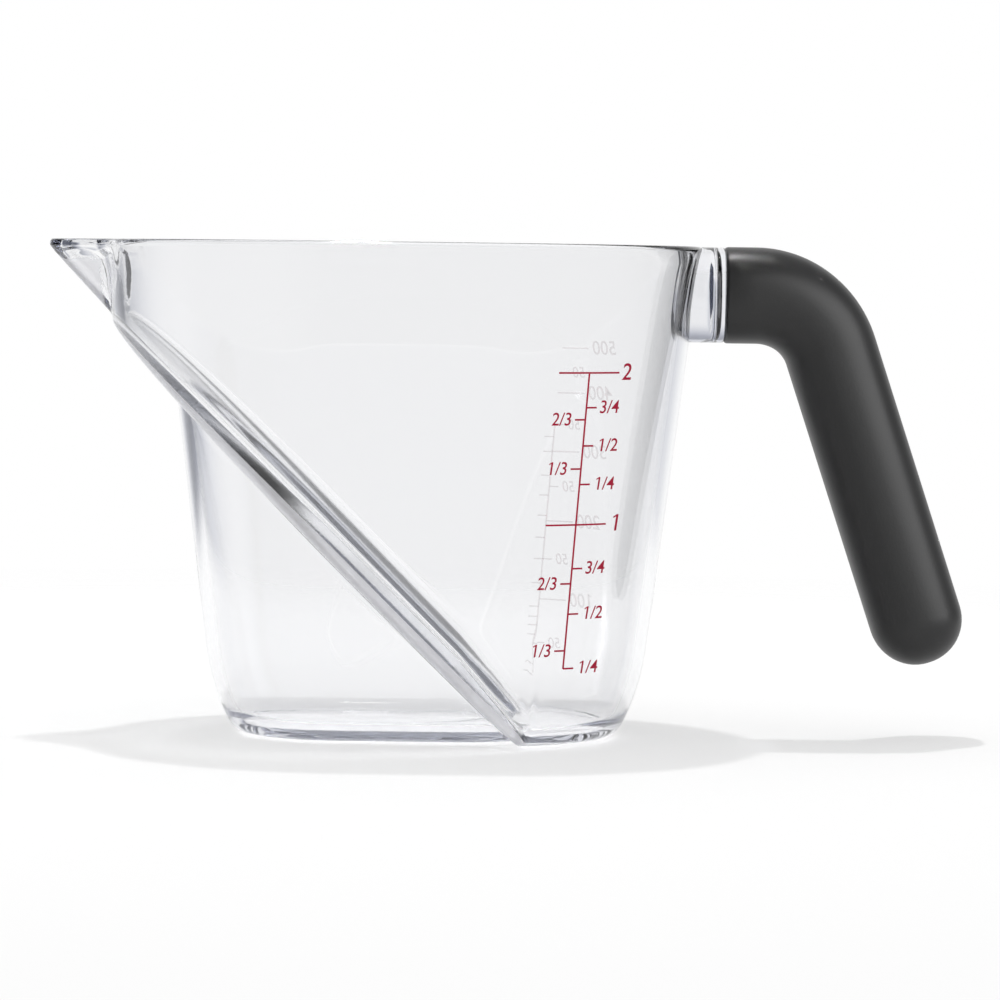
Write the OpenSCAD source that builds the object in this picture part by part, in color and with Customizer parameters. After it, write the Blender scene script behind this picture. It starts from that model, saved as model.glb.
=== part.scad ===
// Angled measuring cup.
// A clear cup is moulded in one piece: a long round wall, an inclined measuring ledge that
// runs down from the spout to the base, a narrower well under the ledge, a pouring spout
// and a short neck with a tang. A rigid core is pushed on to the tang, and a soft grip is
// moulded round the core.
// The origin is on the table, under the middle of the cup. The spout points to -X, the
// handle to +X, and the two sides of the cup are alike.

/* [Cup] */
// Height of the rim above the table
rim_height = 107; // [101:0.5:114]
// Length of the rim, without the spout
rim_length = 130.4; // [126:0.2:136]
// Width of the rim
rim_width = 104; // [98:0.2:112]
// Outward lean of the wall, in degrees
wall_lean = 7.15; // [6:0.05:8.5]
// Thickness of the wall and of the ledge
wall = 2.6; // [2:0.1:3.2]
// Thickness of the floor
floor_thickness = 2.8; // [2.2:0.1:3.6]
// Height at which the wall begins to curve in towards the base
sweep_height = 19; // [16:0.5:23]
// Radius of that curve
sweep_radius = 50; // [44:1:58]
// Radius of the corner between the wall and the base
base_corner = 5; // [4:0.5:6.5]
// Radius of the corner between the wall and the floor, inside
floor_corner = 3.5; // [2.5:0.5:5]

/* [Ledge] */
// Slope of the measuring ledge, in degrees
ledge_angle = 45; // [43:0.5:47]
// Distance from the middle of the cup to the foot of the ledge on the table
ledge_foot = 26.2; // [23:0.2:29]
// Width of the ledge, from the wall of the cup to the wall of the well
ledge_width = 12; // [10:0.5:14]

/* [Spout] */
// Distance from the middle of the cup to the tip of the spout
spout_reach = 77; // [74:0.5:81]
// Depth below the rim at which the spout leaves the wall
spout_depth = 15.7; // [13.5:0.1:18]
// Depth below the rim of the point of the spout's cone, inside the cup
spout_root_depth = 22; // [20:0.5:25]
// Half-angle of the spout's cone, in degrees
spout_spread = 25; // [20:1:30]
// Height of the blunt nose at the tip
spout_nose = 1.7; // [1:0.1:2.5]
// Radius of the nose, seen from above
nose_radius = 12; // [9:0.5:15]

/* [Handle] */
// Distance from the middle of the cup to the end face of the neck
neck_reach = 70; // [69:0.2:74]
// Height of the neck and of the grip where it meets the neck
neck_height = 21; // [18:0.2:24]
// Width of the neck and of the grip
grip_width = 22; // [20:0.5:26]
// Radius of the long edges of the neck
neck_corner = 8; // [5:0.5:9]
// Straight length of the grip between the neck and the bend
grip_lead = 7; // [5:0.2:10]
// Radius of the bend, along the middle of the grip
bend_radius = 17.4; // [15:0.2:22]
// Thickness of the grip's leg, seen from the side
leg_height = 20.1; // [17:0.1:23]
// Lean of the leg from the vertical, in degrees
leg_lean = 18.5; // [14:0.5:23]
// Length of the leg, from the bend to the middle of its round end
leg_length = 61.5; // [54:0.5:68]

/* [Core] */
// Thickness of the rigid core inside the grip
core_height = 12; // [11:0.2:14]
// Width of the core
core_width = 13; // [12:0.2:16]
// Length of the core along the leg of the grip
core_leg = 52; // [40:1:54]
// Height of the tang that holds the core
tang_height = 7; // [5:0.2:8]
// Width of the tang
tang_width = 8; // [6:0.2:9]
// Radius of the long edges of the tang
tang_corner = 2; // [1:0.2:2.4]
// Length of the tang
tang_length = 11; // [8:0.5:12]
// Clearance round the tang and round the core
fit_clearance = 0.15; // [0.1:0.05:0.3]

/* [Hidden] */
$fn = 96;

// Radius of the round ends at the rim, of the cup and of the well under the ledge
cup_radius = rim_width / 2;
well_radius = cup_radius - ledge_width;
// Middles of the two round ends lie this far from the middle of the cup
end_offset = (rim_length - rim_width) / 2;
// Reach of a cutting block that is larger than the cup
beyond = 2 * rim_length;

// Half-length of the cup's outside at a height above the table
function cup_half_length(z) = rim_length / 2 - (rim_height - z) * tan(wall_lean);

// Slope of the spout's underside, its point inside the cup, and the slope of the cone's axis
leave_level = rim_height - spout_depth;
spout_slope = atan2(spout_depth - spout_nose, spout_reach - cup_half_length(leave_level));
spout_point = [(spout_root_depth - spout_nose) / tan(spout_slope) - spout_reach, 0, rim_height - spout_root_depth];
axis_slope = spout_slope + spout_spread;

// Level of the neck, and the middle of the bend
neck_level = rim_height - neck_height / 2;
neck_root = cup_half_length(rim_height - neck_height) - 2 * wall;
bend_x = neck_reach + grip_lead;
bend_level = neck_level - bend_radius;
bend_angle = 90 - leg_lean;

// Steps of an arc in the cup's profile
arc_steps = 7;
// Sides of a section, steps round the bend and steps of a round end
section_sides = 32;
bend_steps = 14;
cap_steps = 7;
// Squareness of a section: 2 is an ellipse, and more is nearer to a rectangle
grip_squareness = 2.6;
socket_squareness = 8;

// Points along an arc, from one angle up to the step before another
function arc(mid, radius, from, to) = [
    for (i = [0 : arc_steps - 1])
        let (a = from + (to - from) * i / arc_steps)
        mid + radius * [cos(a), sin(a)]
];

// Half profile of a vessel with the radius at the rim. inset moves its wall inwards, and
// bottom is the level of its floor: a small corner, a long sweep and a straight wall.
module vessel_profile(radius, inset, bottom, corner, top) {
    sweep = sweep_radius - inset;
    wall_x = radius - (rim_height - sweep_height) * tan(wall_lean);
    sweep_mid = [wall_x - sweep_radius * cos(wall_lean), sweep_height + sweep_radius * sin(wall_lean)];
    drop = sweep_mid.y - bottom - corner;
    join_angle = -asin(drop / (sweep - corner));
    corner_mid = sweep_mid + (sweep - corner) * [cos(join_angle), sin(join_angle)];
    wall_foot = sweep_mid + sweep * [cos(wall_lean), -sin(wall_lean)];
    top_x = wall_foot.x + (top - wall_foot.y) * tan(wall_lean);
    polygon(concat(
        [[0, top], [0, bottom]],
        arc(corner_mid, corner, -90, join_angle),
        arc(sweep_mid, sweep, join_angle, -wall_lean),
        [wall_foot, [top_x, top]]
    ));
}

// Solid vessel: two round ends and the straight stretch between them
module vessel(radius, inset = 0, bottom = 0, corner = base_corner, top = rim_height) {
    for (side = [0, 180])
        rotate([0, 0, side])
            translate([end_offset, 0, 0])
                rotate_extrude(angle = 180, start = -90)
                    vessel_profile(radius, inset, bottom, corner, top);
    translate([-end_offset, 0, 0])
        rotate([90, 0, 90])
            linear_extrude(2 * end_offset) {
                vessel_profile(radius, inset, bottom, corner, top);
                mirror([1, 0])
                    vessel_profile(radius, inset, bottom, corner, top);
            }
}

// Space inside a vessel, which is open at the top
module vessel_space(radius) {
    vessel(radius, wall, floor_thickness, floor_corner, rim_height + wall);
}

// Block that fills everything above the ledge's underside, moved up by lift
module above_ledge(lift = 0) {
    translate([ledge_foot, 0, 0])
        rotate([0, ledge_angle, 0])
            translate([-beyond, -beyond / 2, lift])
                cube([2 * beyond, beyond, beyond]);
}

// Leaning cone of the spout, with its point moved up along the axis
module spout_cone(lift = 0) {
    reach = 2 * spout_reach;
    translate(spout_point)
        rotate([0, axis_slope - 90, 0])
            translate([0, 0, lift])
                cylinder(h = reach, r1 = 0, r2 = reach * tan(spout_spread));
}

// Outside of the spout: the cone, cut off level with the rim and rounded at the nose
module spout() {
    intersection() {
        spout_cone();
        translate([nose_radius - spout_reach, 0, 0])
            cylinder(h = rim_height, r = nose_radius);
    }
}

// Section of a bar with round long edges: x is its height, y its width
module bar_section(height, width, corner) {
    square([height - 2 * corner, width], center = true);
    square([height, width - 2 * corner], center = true);
    for (x = [-1, 1], y = [-1, 1])
        translate([x * (height / 2 - corner), y * (width / 2 - corner)])
            circle(corner);
}

// Straight bar along +X at the level of the neck
module neck_bar(from, to, height, width, corner) {
    translate([from, 0, neck_level])
        rotate([0, 90, 0])
            linear_extrude(to - from)
                bar_section(height, width, corner);
}

// Signed power, which turns a circle into a squarer curve
function signed_pow(v, squareness) = sign(v) * pow(abs(v), 2 / squareness);

// Ring of points round [x, z]. tilt turns its upper side forward, away from the vertical.
function ring(mid, tilt, height, width, squareness) = [
    for (k = [0 : section_sides - 1])
        let (
            a = 360 * k / section_sides,
            up = height / 2 * signed_pow(cos(a), squareness),
            across = width / 2 * signed_pow(sin(a), squareness)
        )
        [mid.x + up * sin(tilt), across, mid[1] + up * cos(tilt)]
];

// Point on the middle line of the handle, along the bend
function bend_point(tilt) = [bend_x, bend_level] + bend_radius * [sin(tilt), cos(tilt)];

// Point on the middle line of the handle, along the leg
function leg_point(along) = bend_point(bend_angle) + along * [sin(leg_lean), -cos(leg_lean)];

// Height of a section at a tilt, which eases from the neck's to the leg's
function eased(from, to, tilt) = from + (to - from) * (1 - cos(180 * tilt / bend_angle)) / 2;

// Rings of a bar along the handle, from the face at x = from to its round end
function handle_rings(from, leg, neck_size, leg_size, width) = [
    ring([from, neck_level], 0, neck_size, width, grip_squareness),
    for (i = [0 : bend_steps])
        let (tilt = bend_angle * i / bend_steps)
        ring(bend_point(tilt), tilt, eased(neck_size, leg_size, tilt), width, grip_squareness),
    for (i = [0 : cap_steps - 1])
        let (turn = 90 * i / cap_steps)
        ring(leg_point(leg + leg_size / 2 * sin(turn)), bend_angle,
            leg_size * cos(turn), width * cos(turn), grip_squareness)
];

// Rings of the socket for the tang
function socket_rings() = [
    for (x = [neck_reach, neck_reach + tang_length + fit_clearance])
        ring([x, neck_level], 0, tang_height + 2 * fit_clearance,
            tang_width + 2 * fit_clearance, socket_squareness)
];

function reversed(list) = [for (i = [len(list) - 1 : -1 : 0]) list[i]];

// Closed skin over a chain of rings, with a point at each end of the chain
module skin(first, rings, last) {
    n = section_sides;
    count = len(rings) * n;
    points = concat([for (r = rings) each r], [first, last]);
    sides = [
        for (i = [0 : len(rings) - 2], k = [0 : n - 1])
            let (a = i * n + k, b = i * n + (k + 1) % n)
            each [[a, b, b + n], [a, b + n, a + n]]
    ];
    ends = [
        for (k = [0 : n - 1])
            let (next = (k + 1) % n)
            each [[count, next, k], [count + 1, count - n + k, count - n + next]]
    ];
    polyhedron(points, concat(sides, ends));
}

// End point of a bar with a round end
function end_point(leg, size) = let (p = leg_point(leg + size / 2)) [p.x, 0, p[1]];

// Clear cup with its ledge, well, spout, neck and tang
module cup_body() {
    color([0.86, 0.88, 0.92, 0.35]) {
        difference() {
            union() {
                intersection() {
                    vessel(cup_radius);
                    above_ledge();
                }
                vessel(well_radius);
                spout();
                neck_bar(neck_root, neck_reach, neck_height, grip_width, neck_corner);
            }
            intersection() {
                vessel_space(cup_radius);
                above_ledge(wall);
            }
            vessel_space(well_radius);
            spout_cone(wall / sin(spout_spread));
        }
        neck_bar(neck_reach - wall, neck_reach + tang_length, tang_height, tang_width, tang_corner);
    }
}

// Rigid core, pushed on to the tang
module handle_core() {
    outside = handle_rings(neck_reach, core_leg, core_height, core_height, core_width);
    color([0.10, 0.10, 0.11])
        skin(end_point(core_leg, core_height), concat(reversed(outside), socket_rings()),
            [neck_reach + tang_length + fit_clearance, 0, neck_level]);
}

// Soft grip round the core
module handle_grip() {
    room = core_height + 2 * fit_clearance;
    outside = handle_rings(neck_reach, leg_length, neck_height, leg_height, grip_width);
    inside = handle_rings(neck_reach, core_leg, room, room, core_width + 2 * fit_clearance);
    color([0.16, 0.16, 0.17])
        skin(end_point(leg_length, leg_height), concat(reversed(outside), inside), end_point(core_leg, room));
}

cup_body();
handle_core();
handle_grip();
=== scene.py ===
from math import asin, cos, hypot, pi, radians, sin, sqrt, tan

import bmesh
import bpy
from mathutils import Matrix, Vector


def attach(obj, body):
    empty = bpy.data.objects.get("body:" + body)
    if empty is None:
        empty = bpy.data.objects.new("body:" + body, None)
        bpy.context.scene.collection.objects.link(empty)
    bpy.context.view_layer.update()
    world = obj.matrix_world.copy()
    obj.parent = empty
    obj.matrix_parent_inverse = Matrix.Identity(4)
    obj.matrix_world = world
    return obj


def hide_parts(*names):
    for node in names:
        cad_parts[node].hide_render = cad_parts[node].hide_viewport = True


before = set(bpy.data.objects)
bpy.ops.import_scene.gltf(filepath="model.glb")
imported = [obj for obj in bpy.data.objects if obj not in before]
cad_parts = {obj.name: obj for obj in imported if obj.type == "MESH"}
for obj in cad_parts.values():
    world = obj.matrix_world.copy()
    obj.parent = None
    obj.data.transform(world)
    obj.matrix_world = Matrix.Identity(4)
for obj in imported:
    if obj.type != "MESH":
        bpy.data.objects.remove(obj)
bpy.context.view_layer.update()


# Cup
# One clear, stiff plastic moulding: an oval cup whose wall stops at a sloping ledge, and a narrower well
# below the ledge. It is skinned as one closed shell, from its base up, over the rim and down inside. The
# ledge's brow and the keel under the spout are frosted.

MM = 0.001
RIM_HEIGHT = 107.0
RIM_RADIUS = 52.0
RIM_ROUND = 1.0
END_OFFSET = 13.2
WALL = 2.6
WALL_LEAN = radians(7.15)
FLOOR = 2.8
FLOOR_START = 8.0
FLOOR_CORNER = 6.0
BASE_CORNER = 5.0
SWEEP_HEIGHT = 19.0
SWEEP_RADIUS = 50.0
LEDGE_WIDTH = 12.0
LEDGE_FOOT = 26.2
LEDGE_ANGLE = radians(45)
LEDGE_ROUND = 1.3
LEDGE_WEDGE = 3.6
WEDGE_FADE = 14.0
BROW_AT_ENDS, BROW_AT_SIDES = 1.2, 4.4
SPOUT_REACH = 77.0
SPOUT_SLOPE = radians(46.8)
SPOUT_SECTOR = -0.5
NOSE_LEVEL = 105.3
NOSE_ROUND = 1.5
KEEL_SPREAD = 0.85
KEEL_ROUND = 3.5
KEEL_BLEND = 0.8
KEEL_EXTRA = 2.0
KEEL_TOP = 103.0
LIP_FOOT = 97.0
LIP_ROUND = 7.0
LIP_WIDTH = 17.0
LIP_TAPER = 1.5
LIP_EXTRA = 4.5
LIP_LIFT = 1.2
LEDGE_FROST, BROW_FROST, KEEL_FROST = 0.5, 1.0, 0.85
FROST_ABOVE_FLOOR, FROST_PAST_WALL = 0.3, 0.5
CORNER_STEPS, SWEEP_STEPS, WALL_STEPS = 10, 12, 60
WELL_POINTS, LEDGE_POINTS, BROW_POINTS, WALL_POINTS = 40, 9, 12, 50
BEND_SHARE = 25.0
SHARP = radians(40)


def steps(first, last, count):
    """Even steps from first to last, both included."""
    return [first + (last - first) * i / count for i in range(count + 1)]


def upright_lines(handle_count=110, side_count=9, spout_count=120, middle=0.3):
    """(end, angle) of each upright line of the wall, once round, closest together at the spout."""
    spread_out = [t * middle + (1 - middle) * t ** 3 for t in steps(-1, 1, spout_count)]
    lines = [(1, a) for a in steps(-pi / 2, pi / 2, handle_count)]
    lines += [(e, pi / 2) for e in steps(1, -1, side_count)[1:-1]]
    lines += [(-1, pi + t * pi / 2) for t in spread_out]
    lines += [(e, -pi / 2) for e in steps(-1, 1, side_count)[1:-1]]
    return lines


def side_line(rim_radius, inset, bottom, corner):
    """(radius, height) along a side, from the edge of its floor to the rim: corner, sweep and wall."""
    sweep = SWEEP_RADIUS - inset
    foot = rim_radius - (RIM_HEIGHT - SWEEP_HEIGHT) * tan(WALL_LEAN)
    mid = Vector((foot - SWEEP_RADIUS * cos(WALL_LEAN), SWEEP_HEIGHT + SWEEP_RADIUS * sin(WALL_LEAN)))
    join = -asin((mid.y - bottom - corner) / (sweep - corner))
    corner_mid = mid + (sweep - corner) * Vector((cos(join), sin(join)))
    line = [corner_mid + corner * Vector((cos(a), sin(a))) for a in steps(-pi / 2, join, CORNER_STEPS)]
    line += [mid + sweep * Vector((cos(a), sin(a))) for a in steps(join, -WALL_LEAN, SWEEP_STEPS)[1:]]
    rise = RIM_HEIGHT - line[-1].y
    line += [line[-1] + Vector((h * tan(WALL_LEAN), h)) for h in steps(0, rise, WALL_STEPS)[1:]]
    return line


def cut_by_ledge(line, end, angle, lift):
    """The parts of a side line below and above the ledge's plane, which is moved up by lift."""
    def above(p):
        return p.y - lift - (LEDGE_FOOT - END_OFFSET * end - p.x * cos(angle)) * tan(LEDGE_ANGLE)
    if above(line[0]) >= 0:
        return line[:1], line
    for i, (a, b) in enumerate(zip(line, line[1:]), 1):
        if above(b) >= 0:
            at = a.lerp(b, above(a) / (above(a) - above(b)))
            return line[:i] + [at], [at] + line[i:]


def keel_push(height, across, radius, extra):
    """How far the spout's keel carries the wall outwards."""
    tip = SPOUT_REACH - max(0, NOSE_LEVEL - height) / tan(SPOUT_SLOPE)
    reach = tip - END_OFFSET - radius - extra
    push = reach - (hypot(across, KEEL_ROUND) - KEEL_ROUND) / KEEL_SPREAD
    soft = hypot(push, KEEL_BLEND)
    return (push + soft) / 2 - KEEL_BLEND ** 2 / 4 / soft


def lip_push(height, across, radius, extra):
    """How far the spout's lip, with its round underside, carries the wall outwards."""
    rise = height - LIP_FOOT
    full = SPOUT_REACH - END_OFFSET - radius - extra
    if rise <= 0:
        return 0
    if rise < LIP_ROUND:
        reach = min(full, LIP_ROUND - sqrt(LIP_ROUND ** 2 - rise ** 2))
    else:
        reach = LIP_ROUND + (full - LIP_ROUND) * min(1, rise - LIP_ROUND)
    aside = (hypot(across, NOSE_ROUND) - NOSE_ROUND) / LIP_WIDTH
    return reach * max(0, 1 - aside) ** LIP_TAPER


def with_spout(line, end, angle, inner):
    """A side line, pushed outwards where the spout is."""
    if end != -1 or cos(angle) > SPOUT_SECTOR:
        return line
    pushed = []
    for p in line:
        outside = p.x + inner * WALL / cos(WALL_LEAN)
        across = abs(p.x * sin(angle))
        keel = keel_push(p.y, across, outside, inner * KEEL_EXTRA)
        lip = lip_push(p.y - inner * LIP_LIFT, across, outside, inner * LIP_EXTRA)
        pushed.append(Vector((p.x + max(keel, lip), p.y)))
    return pushed


def trimmed(line, length, most=0.4):
    """A line without its first length, or without a share of it where it is short."""
    left = min(length, most * sum((b - a).length for a, b in zip(line, line[1:])))
    for i, (a, b) in enumerate(zip(line, line[1:])):
        span = (b - a).length
        if span > left:
            return [a.lerp(b, left / span)] + line[i + 1:]
        left -= span
    return line[-2:]


def spread(line, count, trim_first, trim_last):
    """count points along a line whose two ends are trimmed, closer together in its bends."""
    line = trimmed(trimmed(line, trim_first)[::-1], trim_last)[::-1]
    turns = [0] + [(b - a).angle(c - b, 0) for a, b, c in zip(line, line[1:], line[2:])] + [0]
    sums = [0]
    for a, b, t, u in zip(line, line[1:], turns, turns[1:]):
        sums.append(sums[-1] + (b - a).length + BEND_SHARE * (t + u) / 2)
    points, i = [], 0
    for at in steps(0, sums[-1], count - 1):
        while i < len(line) - 2 and sums[i + 1] < at:
            i += 1
        span = sums[i + 1] - sums[i]
        points.append(line[i].lerp(line[i + 1], min(1, (at - sums[i]) / span) if span else 0))
    return points


def rounded(before, corner, after, count=4):
    """Points of a round corner between two points, without the two."""
    shares = steps(0, 1, count + 1)[1:-1]
    return [before * (1 - t) ** 2 + corner * 2 * t * (1 - t) + after * t ** 2 for t in shares]


def keel_frost(p):
    """How frosted a point of the outer wall is, where the keel has carried it outwards."""
    past_wall = p.x - RIM_RADIUS + (RIM_HEIGHT - p.y) * tan(WALL_LEAN) - FROST_PAST_WALL
    return KEEL_FROST * min(1, max(0, past_wall)) if p.y < KEEL_TOP else 0


def shell_side(end, angle, inner):
    """One face of the shell from its floor up to just under the rim, as (radius, height), then the rim's
    corner, then how frosted each point is."""
    inset, bottom, corner = (WALL, FLOOR, FLOOR_CORNER) if inner else (0, 0, BASE_CORNER)
    lift = WALL / cos(LEDGE_ANGLE) if inner else 0
    well, _ = cut_by_ledge(side_line(RIM_RADIUS - LEDGE_WIDTH, inset, bottom, corner), end, angle, lift)
    _, wall = cut_by_ledge(side_line(RIM_RADIUS, inset, bottom, corner), end, angle, lift)
    wall = with_spout(wall, end, angle, inner)
    well = [Vector((FLOOR_START, bottom))] + well
    ledge = [well[-1], wall[0]]
    if well[-1].y > bottom and wall[0].y <= bottom:
        knee = (LEDGE_FOOT + (lift - bottom) / tan(LEDGE_ANGLE) - END_OFFSET * end) / cos(angle)
        ledge.insert(1, Vector((knee, bottom)))
    if inner and wall[0].y > bottom:
        fade = min(1, (wall[0].y - bottom) / WEDGE_FADE)
        wall = trimmed(wall, LEDGE_WEDGE * abs(sin(angle)) * fade)
        ledge[-1] = wall[0]
    edge = LEDGE_ROUND if inner else BROW_AT_ENDS + (BROW_AT_SIDES - BROW_AT_ENDS) * sin(angle) ** 2
    low = spread(well, WELL_POINTS, 0, LEDGE_ROUND)
    slope = spread(ledge, LEDGE_POINTS, LEDGE_ROUND, edge)
    high = spread(wall, WALL_POINTS, edge, RIM_ROUND)
    step = rounded(low[-1], well[-1], slope[0]) + slope
    brow = rounded(slope[-1], wall[0], high[0], BROW_POINTS)
    line = low + step + brow + high
    frost = [0] * len(low) + [LEDGE_FROST if p.y > bottom + FROST_ABOVE_FLOOR else 0 for p in step]
    if inner:
        return line, wall[-1], frost + [0] * (len(brow) + len(high))
    frost += [BROW_FROST if p.y > bottom + FROST_ABOVE_FLOOR else 0 for p in brow]
    frost += [keel_frost(p) for p in high]
    return line, wall[-1], frost


def shell_line(end, angle):
    """Points of the whole shell on one upright line, up outside, over the rim and down inside, then how
    frosted each point is."""
    outer, outer_rim, outer_frost = shell_side(end, angle, False)
    inner, inner_rim, inner_frost = shell_side(end, angle, True)
    across = (inner_rim - outer_rim).normalized() * RIM_ROUND
    top = [outer_rim + across, inner_rim - across]
    rim = rounded(outer[-1], outer_rim, top[0]) + top + rounded(top[1], inner_rim, inner[-1])
    points = [Vector((END_OFFSET * end + p.x * cos(angle), p.x * sin(angle), p.y)) * MM
              for p in outer + rim + inner[::-1]]
    return points, outer_frost + [0] * len(rim) + inner_frost[::-1]


def loft(rings, frosts=None):
    """A closed skin over rings of points: a loop of edges that is extruded from ring to ring, with both
    ends filled."""
    bm = bmesh.new()
    place = bm.verts.layers.int.new("place")
    frost = bm.verts.layers.float.new("frost") if frosts else None
    loop = bmesh.ops.create_circle(bm, segments=len(rings[0]), radius=MM)["verts"]
    for i, v in enumerate(loop):
        v[place] = i
    edges = bm.edges[:]
    bmesh.ops.contextual_create(bm, geom=edges)
    for v in loop:
        v.co = rings[0][v[place]]
    for i, ring in enumerate(rings[1:], 1):
        made = bmesh.ops.extrude_edge_only(bm, edges=edges)["geom"]
        edges = [g for g in made if isinstance(g, bmesh.types.BMEdge)]
        for v in [g for g in made if isinstance(g, bmesh.types.BMVert)]:
            v.co = ring[v[place]]
            if frosts:
                v[frost] = frosts[i][v[place]]
    bmesh.ops.contextual_create(bm, geom=edges)
    bm.verts.layers.int.remove(place)
    bmesh.ops.recalc_face_normals(bm, faces=bm.faces)
    return bm


def piece(name, bm, material):
    """An object from a mesh under construction, shaded smooth except at sharp edges."""
    mesh = bpy.data.meshes.new(name)
    for face in bm.faces:
        face.smooth = True
    bm.to_mesh(mesh)
    bm.free()
    mesh.set_sharp_from_angle(angle=SHARP)
    mesh.materials.append(material)
    made = bpy.data.objects.new(name, mesh)
    bpy.context.scene.collection.objects.link(made)
    return made


class Socket:
    """A shader socket that takes part in sums: an expression on values adds its Math nodes."""

    def __init__(self, tree, out=None):
        self.tree, self.out = tree, out

    def node(self, kind, settings, sockets, output=0):
        """Any node: its type, its settings, its sockets' values or links, and the output that is wanted."""
        made = self.tree.nodes.new(kind)
        for name, value in settings.items():
            setattr(made, name, value)
        for name, value in sockets.items():
            if isinstance(value, Socket):
                self.tree.links.new(value.out, made.inputs[name])
            else:
                made.inputs[name].default_value = value
        return Socket(self.tree, made.outputs[output] if made.outputs else None)

    def math(self, operation, *values):
        return self.node("ShaderNodeMath", {"operation": operation}, dict(enumerate(values)))

    def __add__(self, other):
        return self.math("ADD", self, other)

    def __sub__(self, other):
        return self.math("SUBTRACT", self, other)

    def __rsub__(self, other):
        return self.math("SUBTRACT", other, self)

    def __mul__(self, other):
        return self.math("MULTIPLY", self, other)

    __radd__, __rmul__ = __add__, __mul__

    def between(self, low, high):
        """0 below low, 1 above high, and smooth between."""
        limits = {"Value": self, "From Min": low, "From Max": high}
        return self.node("ShaderNodeMapRange", {"interpolation_type": "SMOOTHSTEP"}, limits)


def new_finish(name):
    """An empty material, and a socket to build its nodes from."""
    material = bpy.data.materials.new(name)
    material.use_nodes = True
    material.node_tree.nodes.clear()
    return material, Socket(material.node_tree)


def cloudy(make, scale, detail):
    """Noise that stays in place on a piece."""
    where = make.node("ShaderNodeTexCoord", {}, {}, "Object")
    return make.node("ShaderNodeTexNoise", {}, {"Vector": where, "Scale": scale, "Detail": detail})


CLEAR_TINT = (0.990, 0.991, 0.994, 1)
DEPTH_TINT = (0.45, 0.48, 0.60, 1)
FROST_WHITE = (0.80, 0.80, 0.83, 1)
LAMP_TINT = (0.64, 0.64, 0.65, 1)
EDGE_SHADE = 0.84

clear_plastic, make = new_finish("clear_plastic")
frosted = make.node("ShaderNodeAttribute", {"attribute_name": "frost"}, {}, "Fac")
grain = cloudy(make, scale=1500.0, detail=2.0)
ripple = cloudy(make, scale=28.0, detail=1.0)
bumps = ripple + frosted * grain * 0.6
surface = make.node("ShaderNodeBump", {}, {"Height": bumps, "Strength": 0.25, "Distance": 0.12 * MM})
skin = make.node("ShaderNodeBsdfPrincipled", {}, {
    "Base Color": CLEAR_TINT, "Roughness": 0.012 + frosted * 0.33, "Transmission Weight": 1.0,
    "IOR": 1.56, "Normal": surface})
frosting = make.node("ShaderNodeBsdfPrincipled", {}, {
    "Base Color": FROST_WHITE, "Roughness": 0.6, "Normal": surface})
outside = 1 - make.node("ShaderNodeNewGeometry", {}, {}, "Backfacing")
cover = outside * frosted.between(LEDGE_FROST, BROW_FROST) * (0.35 + grain * 0.5)
skin = make.node("ShaderNodeMixShader", {}, {0: cover, 1: skin, 2: frosting})
from_lamp = make.node("ShaderNodeLightPath", {}, {}, "Is Shadow Ray")
aslant = make.node("ShaderNodeLayerWeight", {}, {"Blend": 0.5}, "Facing")
let_through = make.node("ShaderNodeBsdfTransparent", {}, {"Color": LAMP_TINT})
lamp_share = from_lamp * (1 - aslant * EDGE_SHADE)
body = make.node("ShaderNodeMixShader", {}, {0: lamp_share, 1: skin, 2: let_through})
depth = make.node("ShaderNodeVolumeAbsorption", {}, {"Color": DEPTH_TINT, "Density": 10.0})
make.node("ShaderNodeOutputMaterial", {}, {"Surface": body, "Volume": depth})

shell = [shell_line(e, a) for e, a in upright_lines()]
cup = loft(list(zip(*[points for points, _ in shell])), list(zip(*[frost for _, frost in shell])))
cup = piece("cup", cup, clear_plastic)
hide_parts("cup_body")
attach(cup, "root")


# Neck
# The clear block between the cup's wall and the grip, part of the same moulding, with a tang on its end that
# the handle's core is pushed on to. It starts inside the wall, narrows to a waist and ends in a collar as
# wide as the grip, and it is joined to the cup.

NECK_REACH = 70.0
NECK_HEIGHT = 20.8
NECK_LEVEL = 96.5
UNDER_RIM = 0.3
NECK_ROOT = ((-1.1, 0.98), (0.6, 0.97))
WAIST = ((4.8, 0.965), (4.0, 0.945), (3.3, 0.91), (2.8, 0.86), (2.4, 0.84), (2.0, 0.84), (1.85, 0.985))
COLLAR = ((1.6, 0), (0.7, 0), (0.2, 0.2), (0, 0.7))
GRIP_WIDTH = 22.0
TANG_HEIGHT, TANG_WIDTH, TANG_LENGTH = 7.0, 8.0, 11.0
SQUARENESS, TANG_SQUARENESS = 2.6, 6


def oval(height, width, squareness=SQUARENESS, count=64):
    """(across, up) round a section that is squarer than an ellipse."""
    def bent(v):
        return abs(v) ** (2 / squareness) * (1 if v > 0 else -1)
    return [(width / 2 * bent(sin(a)), height / 2 * bent(cos(a))) for a in steps(0, 2 * pi, count)[:-1]]


def wall_x(across, height):
    """Where the cup's outer wall is, at the handle's end."""
    radius = RIM_RADIUS - (RIM_HEIGHT - height) * tan(WALL_LEAN)
    return END_OFFSET + sqrt(radius ** 2 - across ** 2)


def wall_ring(out, width):
    """A ring of the neck that follows the wall, out from it by a distance."""
    ring = []
    for across, up in oval(NECK_HEIGHT, GRIP_WIDTH * width):
        level = min(NECK_LEVEL + up, RIM_HEIGHT - UNDER_RIM)
        ring.append(Vector((wall_x(across, level) + out, across, level)) * MM)
    return ring


def flat_ring(reach, section):
    """A section of the neck or the tang as an upright ring, at a distance along it."""
    return [Vector((reach, across, NECK_LEVEL + up)) * MM for across, up in section]


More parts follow.
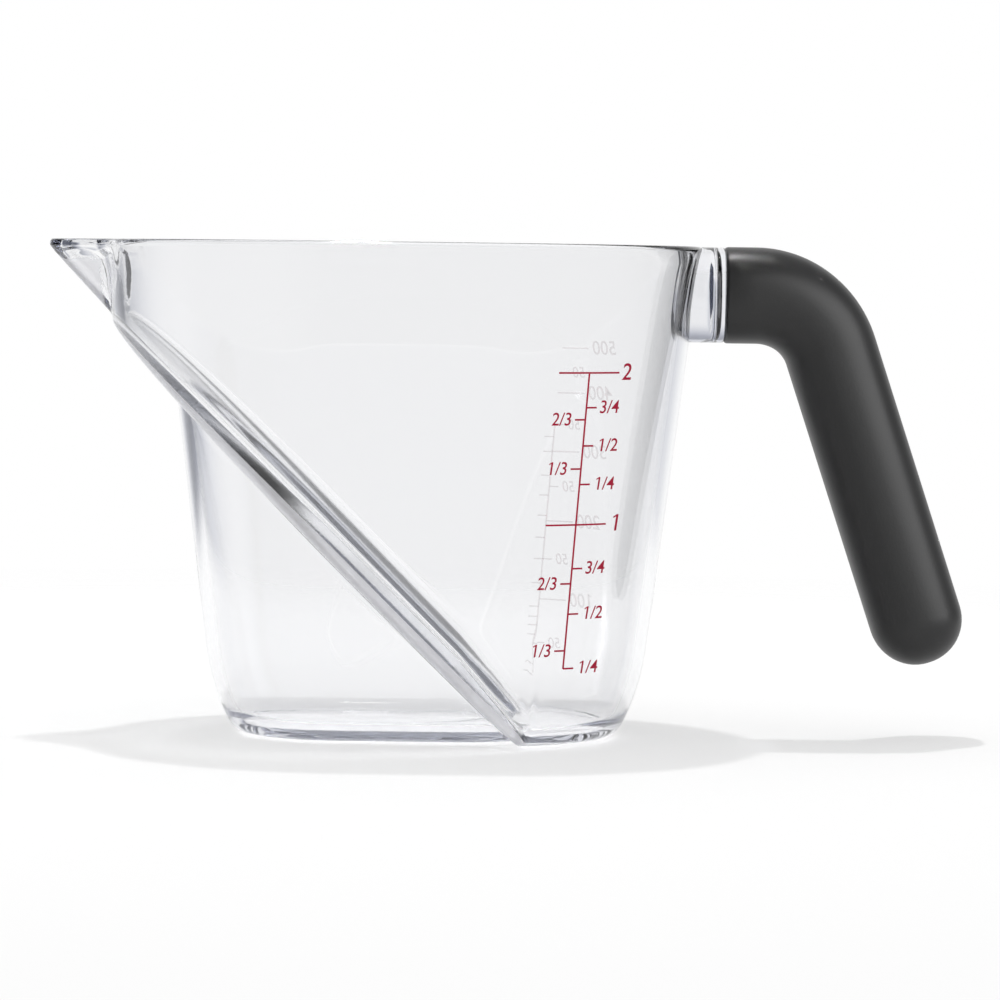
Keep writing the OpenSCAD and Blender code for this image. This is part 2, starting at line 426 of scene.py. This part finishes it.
tang_section = oval(TANG_HEIGHT, TANG_WIDTH, TANG_SQUARENESS)
rings = [wall_ring(out, width) for out, width in NECK_ROOT]
rings += [flat_ring(NECK_REACH - back, oval(NECK_HEIGHT, GRIP_WIDTH * width)) for back, width in WAIST]
rings += [flat_ring(NECK_REACH - back, oval(NECK_HEIGHT - trim, GRIP_WIDTH - trim)) for back, trim in COLLAR]
rings += [flat_ring(reach, tang_section) for reach in (NECK_REACH, NECK_REACH + TANG_LENGTH)]
neck = piece("neck", loft(rings), clear_plastic)
joined = cup.modifiers.new("joined", "BOOLEAN")
joined.operation, joined.solver, joined.object = "UNION", "EXACT", neck
whole = bpy.data.meshes.new_from_object(cup.evaluated_get(bpy.context.evaluated_depsgraph_get()))
cup.modifiers.clear()
bpy.data.objects.remove(neck)
cup.data = whole
cup.data.set_sharp_from_angle(angle=SHARP)


# Handle core
# The rigid dark core that the tang holds. The grip hides it, so the solid keeps its own shape
# and has the plain grained plastic of a part that isn't meant to be seen.

CORE_BLACK = (0.01, 0.01, 0.011, 1)

core_plastic, make = new_finish("core_plastic")
grain = cloudy(make, scale=900.0, detail=3.0)
surface = make.node("ShaderNodeBump", {}, {"Height": grain, "Strength": 0.2, "Distance": 0.05 * MM})
skin = make.node("ShaderNodeBsdfPrincipled", {}, {
    "Base Color": CORE_BLACK, "Roughness": 0.45 + grain * 0.15, "Normal": surface})
make.node("ShaderNodeOutputMaterial", {}, {"Surface": skin})
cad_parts["handle_core"].data.materials.clear()
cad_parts["handle_core"].data.materials.append(core_plastic)


# Grip
# The soft dark rubber grip, moulded round the core: straight from the neck, round a bend and down a leaning
# leg to a round end. Its skin is matte with a very fine grain.

GRIP_NECK, GRIP_LEG = 21.0, 20.1
GRIP_LEAD = 7.0
GRIP_EDGE = 0.8
BEND_RADIUS = 17.4
LEG_LEAN = radians(18.5)
LEG_LENGTH = 61.5
LAST_RING = pi / 2 - 0.06
EDGE_STEPS, BEND_STEPS, LEG_STEPS, END_STEPS = 4, 28, 12, 14
RUBBER_DARK, RUBBER_LIGHT = (0.006, 0.006, 0.0063, 1), (0.009, 0.009, 0.0095, 1)


def grip_ring(mid, tilt, height, width):
    """A ring of the grip round (x, z), with its upper side turned forward by tilt."""
    return [Vector((mid[0] + up * sin(tilt), across, mid[1] + up * cos(tilt))) * MM
            for across, up in oval(height, width)]


def tones(make, share, first, second):
    """A colour between two colours."""
    return make.node("ShaderNodeMix", {"data_type": "RGBA"}, {"Factor": share, 6: first, 7: second}, 2)


turn = pi / 2 - LEG_LEAN
bend = (NECK_REACH + GRIP_LEAD, NECK_LEVEL - BEND_RADIUS)
rings = []
for t in steps(0, pi / 2, EDGE_STEPS):
    mid = (NECK_REACH + GRIP_EDGE * (1 - cos(t)), NECK_LEVEL)
    trim = 2 * GRIP_EDGE * (1 - sin(t))
    rings.append(grip_ring(mid, 0, GRIP_NECK - trim, GRIP_WIDTH - trim))
for t in steps(0, 1, BEND_STEPS):
    tilt = turn * t
    mid = (bend[0] + BEND_RADIUS * sin(tilt), bend[1] + BEND_RADIUS * cos(tilt))
    thick = GRIP_NECK + (GRIP_LEG - GRIP_NECK) * (1 - cos(pi * t)) / 2
    rings.append(grip_ring(mid, tilt, thick, GRIP_WIDTH))
leg = (bend[0] + BEND_RADIUS * sin(turn), bend[1] + BEND_RADIUS * cos(turn))
down = [(along, 1) for along in steps(0, LEG_LENGTH, LEG_STEPS)[1:]]
down += [(LEG_LENGTH + GRIP_LEG / 2 * sin(t), cos(t)) for t in steps(0, LAST_RING, END_STEPS)[1:]]
for along, share in down:
    mid = (leg[0] + along * sin(LEG_LEAN), leg[1] - along * cos(LEG_LEAN))
    rings.append(grip_ring(mid, turn, GRIP_LEG * share, GRIP_WIDTH * share))

soft_rubber, make = new_finish("soft_rubber")
grain = cloudy(make, scale=1800.0, detail=3.0)
cloud = cloudy(make, scale=40.0, detail=4.0)
surface = make.node("ShaderNodeBump", {}, {"Height": grain, "Strength": 0.35, "Distance": 0.05 * MM})
skin = make.node("ShaderNodeBsdfPrincipled", {}, {
    "Base Color": tones(make, cloud, RUBBER_DARK, RUBBER_LIGHT), "Roughness": 0.38 + cloud * 0.08,
    "Specular IOR Level": 0.42, "Normal": surface})
make.node("ShaderNodeOutputMaterial", {}, {"Surface": skin})

grip = piece("grip", loft(rings), soft_rubber)
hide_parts("handle_grip")
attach(grip, "root")


# Front scale
# Cup marks printed in crimson ink on the outside of the near wall: one leaning line, long ticks with whole
# numbers, and short ticks with fractions on both its sides. Each mark is a thin film of ink, a faint rose on
# its edges and on the side that faces the wall.

INK = 0.04
INK_GAP = 0.06
LINE_WIDTH = 0.38
LINE_CUTS = 12
TICK, LONG_TICK = 2.2, 6.4
NUMBER_SIZE, FRACTION_SIZE = 5.0, 3.85
FIGURE_GAP = 0.6
SLANT = 0.14
NARROWING = 0.86
BOLDNESS = 0.008
FLAG, FLAG_WIDTH = 0.13, 0.07
FLAG_START = (0.04, 0.03)
STEM_WIDTH = 0.1
FRONT_FOOT, FRONT_LEAN, FRONT_TOP = (35.49, 17.51), 0.0732, 80.0
CUPS = ((80.2, "2"), (48.2, "1"))
QUARTERS = ((72.9, "3/4"), (64.86, "1/2"), (56.73, "1/4"), (38.89, "3/4"), (29.21, "1/2"), (17.56, "1/4"))
THIRDS = ((70.38, "2/3"), (60.02, "1/3"), (35.71, "2/3"), (21.42, "1/3"))
CRIMSON_DARK, CRIMSON_LIGHT = (0.38, 0.001, 0.028, 1), (0.46, 0.002, 0.038, 1)
ROSE_DARK, ROSE_LIGHT = (0.62, 0.24, 0.31, 1), (0.70, 0.30, 0.38, 1)


def scale_line(height, foot, lean):
    """How far along the wall a scale's line is at a height."""
    return foot[0] + (height - foot[1]) * lean


def film_of_line(start, end, width):
    """A mesh under construction of a straight line, as a thin film that can bend."""
    bm = bmesh.new()
    along = Vector((end[0] - start[0], end[1] - start[1], 0))
    bmesh.ops.create_cube(bm, size=1)
    bmesh.ops.scale(bm, vec=(along.length, width, INK), verts=bm.verts)
    lengthwise = [e for e in bm.edges if abs(e.verts[0].co.x - e.verts[1].co.x) > along.length / 2]
    bmesh.ops.subdivide_edges(bm, edges=lengthwise, cuts=LINE_CUTS, use_grid_fill=True)
    turned = along.to_track_quat("X", "Z").to_matrix()
    middle = Vector(((start[0] + end[0]) / 2, (start[1] + end[1]) / 2, 0))
    for v in bm.verts:
        v.co = turned @ v.co + middle
    return bm


def add_film(bm, film):
    """Adds a film to a mesh under construction."""
    mesh = bpy.data.meshes.new("film")
    film.to_mesh(mesh)
    film.free()
    bm.from_mesh(mesh)
    bpy.data.meshes.remove(mesh)


def add_flag(bm, size, align):
    """Puts the flag on a leading 1, and keeps figures that start at their place from reaching before it."""
    left = min(v.co.x for v in bm.verts)
    top = max(v.co.y for v in bm.verts if v.co.x < left + STEM_WIDTH * size)
    start = (left + FLAG_START[0] * size, top - FLAG_START[1] * size)
    add_film(bm, film_of_line(start, (left - FLAG * size, top - FLAG * size), FLAG_WIDTH * size))
    if align == "LEFT":
        bmesh.ops.translate(bm, verts=bm.verts, vec=(FLAG * size, 0, 0))


def film_of_text(words, size, align):
    """A mesh under construction of slanted figures, as a thin film."""
    curve = bpy.data.curves.new("figures", "FONT")
    curve.body, curve.size, curve.align_x, curve.align_y = words, size, align, "CENTER"
    curve.extrude, curve.offset, curve.resolution_u = INK / 2, size * BOLDNESS, 6
    holder = bpy.data.objects.new("figures", curve)
    bpy.context.scene.collection.objects.link(holder)
    mesh = bpy.data.meshes.new_from_object(holder.evaluated_get(bpy.context.evaluated_depsgraph_get()))
    bm = bmesh.new()
    bm.from_mesh(mesh)
    bpy.data.objects.remove(holder)
    bpy.data.meshes.remove(mesh)
    bpy.data.curves.remove(curve)
    if words[0] == "1":
        add_flag(bm, size, align)
    for v in bm.verts:
        v.co.x = v.co.x * NARROWING + v.co.y * SLANT
    return bm


def printed(name, films, side, inks):
    """All the films of a scale as one piece on the wall: side is -1 for the near wall, 1 for the far one."""
    bm = bmesh.new()
    for film, place in films:
        bmesh.ops.translate(film, verts=film.verts, vec=(place[0], place[1], 0))
        add_film(bm, film)
    bmesh.ops.remove_doubles(bm, verts=bm.verts, dist=0.001)
    bmesh.ops.recalc_face_normals(bm, faces=bm.faces)
    for face in bm.faces:
        face.material_index = 0 if face.normal.z > 0.5 else 1
    for v in bm.verts:
        x, height, out = v.co.x * -side, v.co.y, v.co.z + INK / 2 + INK_GAP
        radius = RIM_RADIUS - (RIM_HEIGHT - height) * tan(WALL_LEAN) + out
        v.co = Vector((x, side * sqrt(radius ** 2 - max(0, x - END_OFFSET) ** 2), height)) * MM
    bm.normal_update()
    made = piece(name, bm, inks[0])
    made.data.materials.append(inks[1])
    return made


def ink(name, dark, light, cover, from_behind):
    """A printed ink, slightly uneven, and how much it covers from its front and from behind."""
    material, make = new_finish(name)
    if from_behind != cover:
        cover = cover + (from_behind - cover) * make.node("ShaderNodeNewGeometry", {}, {}, "Backfacing")
    uneven = cloudy(make, scale=1200.0, detail=2.0)
    skin = make.node("ShaderNodeBsdfPrincipled", {}, {
        "Base Color": tones(make, uneven, dark, light), "Roughness": 0.45 + uneven * 0.15,
        "Specular IOR Level": 0.25, "Alpha": cover})
    make.node("ShaderNodeOutputMaterial", {}, {"Surface": skin})
    return material


def mark(height, words, side, long):
    """A tick of the front scale with its figures beside it, on the right where side is 1."""
    at = scale_line(height, FRONT_FOOT, FRONT_LEAN)
    reach, size = (LONG_TICK, NUMBER_SIZE) if long else (TICK, FRACTION_SIZE)
    start = at - reach if long else at
    films.append((film_of_line((start, height), (at + side * reach, height), LINE_WIDTH), (0, 0)))
    figures = film_of_text(words, size, "LEFT" if side > 0 else "RIGHT")
    films.append((figures, (at + side * (reach + FIGURE_GAP), height)))


crimson = ink("crimson_ink", CRIMSON_DARK, CRIMSON_LIGHT, cover=1.0, from_behind=0.06)
rose = ink("rose_ink", ROSE_DARK, ROSE_LIGHT, cover=0.17, from_behind=0.17)
front_end = (scale_line(FRONT_TOP, FRONT_FOOT, FRONT_LEAN), FRONT_TOP)
films = [(film_of_line(FRONT_FOOT, front_end, LINE_WIDTH), (0, 0))]
for marks, side, long in ((CUPS, 1, True), (QUARTERS, 1, False), (THIRDS, -1, False)):
    for height, words in marks:
        mark(height, words, side, long)
front_scale = printed("front_scale", films, -1, (crimson, rose))
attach(front_scale, "root")


# Back scale
# Metric marks printed in the same ink on the outside of the far wall, to be read from the other side. Seen
# through the cup they are faint and reversed, because the ink is thin from behind.

BACK_FOOT, BACK_LEAN, BACK_TOP = (-30.6, 10.16), -0.0794, 66.5
BACK_LINE = LINE_WIDTH * 0.8
BACK_GAP = 0.9
HUNDRED_SIZE, FIFTY_SIZE = FRACTION_SIZE * 1.15, FRACTION_SIZE * 0.9
FIFTIES = (16.8, 26.7, 35.8, 44.4, 52.2, 60.2, 66.3, 73.5, 78.1, 83.7)
SMALL_TICKS = (9.7, 12.0, 18.7, 20.8, 22.7, 25.0, 30.3, 35.8, 40.6, 45.6, 50.2, 54.7, 60.1, 63.5)

back_end = (scale_line(BACK_TOP, BACK_FOOT, BACK_LEAN), BACK_TOP)
films = [(film_of_line(BACK_FOOT, back_end, LINE_WIDTH), (0, 0))]
for step, height in enumerate(FIFTIES, 1):
    at = scale_line(height, BACK_FOOT, BACK_LEAN)
    hundred = step % 2 == 0
    reach, size = (LONG_TICK, HUNDRED_SIZE) if hundred else (TICK, FIFTY_SIZE)
    words = str(step * 50) if hundred else "50"
    films.append((film_of_line((at, height), (at - reach, height), BACK_LINE), (0, 0)))
    films.append((film_of_text(words, size, "RIGHT"), (at - reach - BACK_GAP, height)))
for height in SMALL_TICKS:
    at = scale_line(height, BACK_FOOT, BACK_LEAN)
    films.append((film_of_line((at, height), (at + TICK, height), BACK_LINE), (0, 0)))
back_scale = printed("back_scale", films, 1, (crimson, rose))
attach(back_scale, "root")


# Studio
# A pale floor that fades out, a white surround, a small lamp overhead, a soft ceiling and a lamp for the grip
# alone. Through the plastic the surround is dim to the left and right, above and on the camera's side, down
# to just below the horizon. The camera stands a little above the rim, as in the photograph.

OVERHEAD, OVERHEAD_SIZE = (-0.044, 0.15, 0.97), (0.035, 0.035)
CEILING, CEILING_SIZE = (0.1, 0.1, 1.4), (1.6, 1.6)
RIGHT, RIGHT_SIZE = (0.80, -0.8, 0.45), (1.4, 0.9)
FLOOR_WHITE = (0.97, 0.97, 0.97, 1)
FLOOR_GLOW = 0.38
FLOOR_FADE = (0.28, 0.5)
FLOOR_HALF = 0.6
FLOOR_DROP = 0.2
WHITE, BLUE_DIM = (1, 1, 1, 1), (0.68, 0.75, 1, 1)
AHEAD_LIT, RIGHT_LIT = (0.4, 0.85, 1), (0.1, 0.7, 0.4)
FAINT = 0.05
BELOW = (-0.12, 0.02)
HORIZON = (-0.18, -0.10)
LEFT_DIM, RIGHT_DIM = (0.15, 0.5, 0.78), (0.2, 0.55, 0.25)
UP_DIM, NEAR_DIM = (0.3, 0.8, 0.6), (-0.4, 0.2, 0.7)
SEEN_THROUGH = 0.96
FILL = 0.68
CAMERA_PLACE = (0.0211, -0.917, 0.1024)
CAMERA_DIP, CAMERA_ROLL = radians(3.2), radians(-0.75)
BOUNCES = 24


def soft_lamp(name, place, size, power, aim):
    """An area lamp at a place, turned towards a point."""
    lamp = bpy.data.lights.new(name, "AREA")
    lamp.shape, lamp.size, lamp.size_y, lamp.energy = "RECTANGLE", size[0], size[1], power
    holder = bpy.data.objects.new(name, lamp)
    holder.location = place
    holder.rotation_euler = (Vector(aim) - Vector(place)).to_track_quat("-Z", "Y").to_euler()
    bpy.context.scene.collection.objects.link(holder)
    return holder


def largest(first, *others):
    """The largest of several values."""
    for other in others:
        first = first.math("MAXIMUM", first, other)
    return first


def towards(part, start, full, most):
    """A value that goes from 0 to most while a direction's part goes from start to full."""
    return part.between(start, full) * most


soft_lamp("overhead", OVERHEAD, OVERHEAD_SIZE, power=2.9, aim=(0.02, 0, 0))
soft_lamp("ceiling", CEILING, CEILING_SIZE, power=3.0, aim=(0.1, 0.1, 0))
right = soft_lamp("right", RIGHT, RIGHT_SIZE, power=15, aim=(0.09, 0, 0.06))
right.light_linking.receiver_collection = bpy.data.collections.new("lit_from_right")
right.light_linking.receiver_collection.objects.link(grip)

floor_finish, make = new_finish("pale_floor")
where = make.node("ShaderNodeTexCoord", {}, {}, "Object")
away = make.node("ShaderNodeVectorMath", {"operation": "LENGTH"}, {0: where}, "Value")
board = make.node("ShaderNodeBsdfDiffuse", {}, {"Color": FLOOR_WHITE})
bright = make.node("ShaderNodeEmission", {}, {"Strength": 1.0})
met = 1 - make.node("ShaderNodeLightPath", {}, {}, "Is Diffuse Ray")
board = make.node("ShaderNodeMixShader", {}, {0: met * FLOOR_GLOW, 1: board, 2: bright})
gone = make.node("ShaderNodeBsdfTransparent", {}, {})
mixed = make.node("ShaderNodeMixShader", {}, {0: away.between(*FLOOR_FADE), 1: board, 2: gone})
make.node("ShaderNodeOutputMaterial", {}, {"Surface": mixed})
bm = bmesh.new()
bmesh.ops.create_grid(bm, x_segments=2, y_segments=2, size=FLOOR_HALF)
bmesh.ops.translate(bm, verts=bm.verts, vec=(0, 0, -FLOOR_DROP * MM))
floor = piece("floor", bm, floor_finish)

world = bpy.data.worlds.new("surround")
world.use_nodes = True
world.node_tree.nodes.clear()
make = Socket(world.node_tree)
direction = make.node("ShaderNodeTexCoord", {}, {}, "Generated")
aside, ahead, rise = (make.node("ShaderNodeSeparateXYZ", {}, {0: direction}, axis) for axis in "XYZ")
seen = make.node("ShaderNodeLightPath", {}, {}, "Is Camera Ray")
through = make.node("ShaderNodeLightPath", {}, {}, "Is Transmission Ray")
fill = make.math("GREATER_THAN", make.node("ShaderNodeLightPath", {}, {}, "Diffuse Depth"), 0.5)
below = 1 - rise.between(*BELOW)
lit = largest(towards(ahead, *AHEAD_LIT), below, towards(aside, *RIGHT_LIT))
lit = FAINT + (1 - FAINT) * lit
dim = largest(towards(0 - aside, *LEFT_DIM), towards(aside, *RIGHT_DIM))
dim = largest(dim, towards(rise, *UP_DIM), towards(0 - ahead, *NEAR_DIM))
dim = dim * rise.between(*HORIZON)
shown = lit + through * (SEEN_THROUGH - dim - lit)
level = largest(seen, shown + fill * (FILL - shown))
tint = tones(make, through * dim * (1 - fill), WHITE, BLUE_DIM)
background = make.node("ShaderNodeBackground", {}, {"Color": tint, "Strength": level})
make.node("ShaderNodeOutputWorld", {}, {"Surface": background})
bpy.context.scene.world = world

camera = bpy.data.cameras.new("camera")
camera.sensor_width, camera.lens = 36.0, 151.2
camera.clip_start = 0.01
holder = bpy.data.objects.new("camera", camera)
holder.location = CAMERA_PLACE
holder.rotation_euler = (pi / 2 - CAMERA_DIP, CAMERA_ROLL, 0)
bpy.context.scene.collection.objects.link(holder)
bpy.context.scene.camera = holder
bpy.context.scene.view_settings.view_transform = "Standard"
for limit in ("max_bounces", "glossy_bounces", "transmission_bounces"):
    setattr(bpy.context.scene.cycles, limit, BOUNCES)
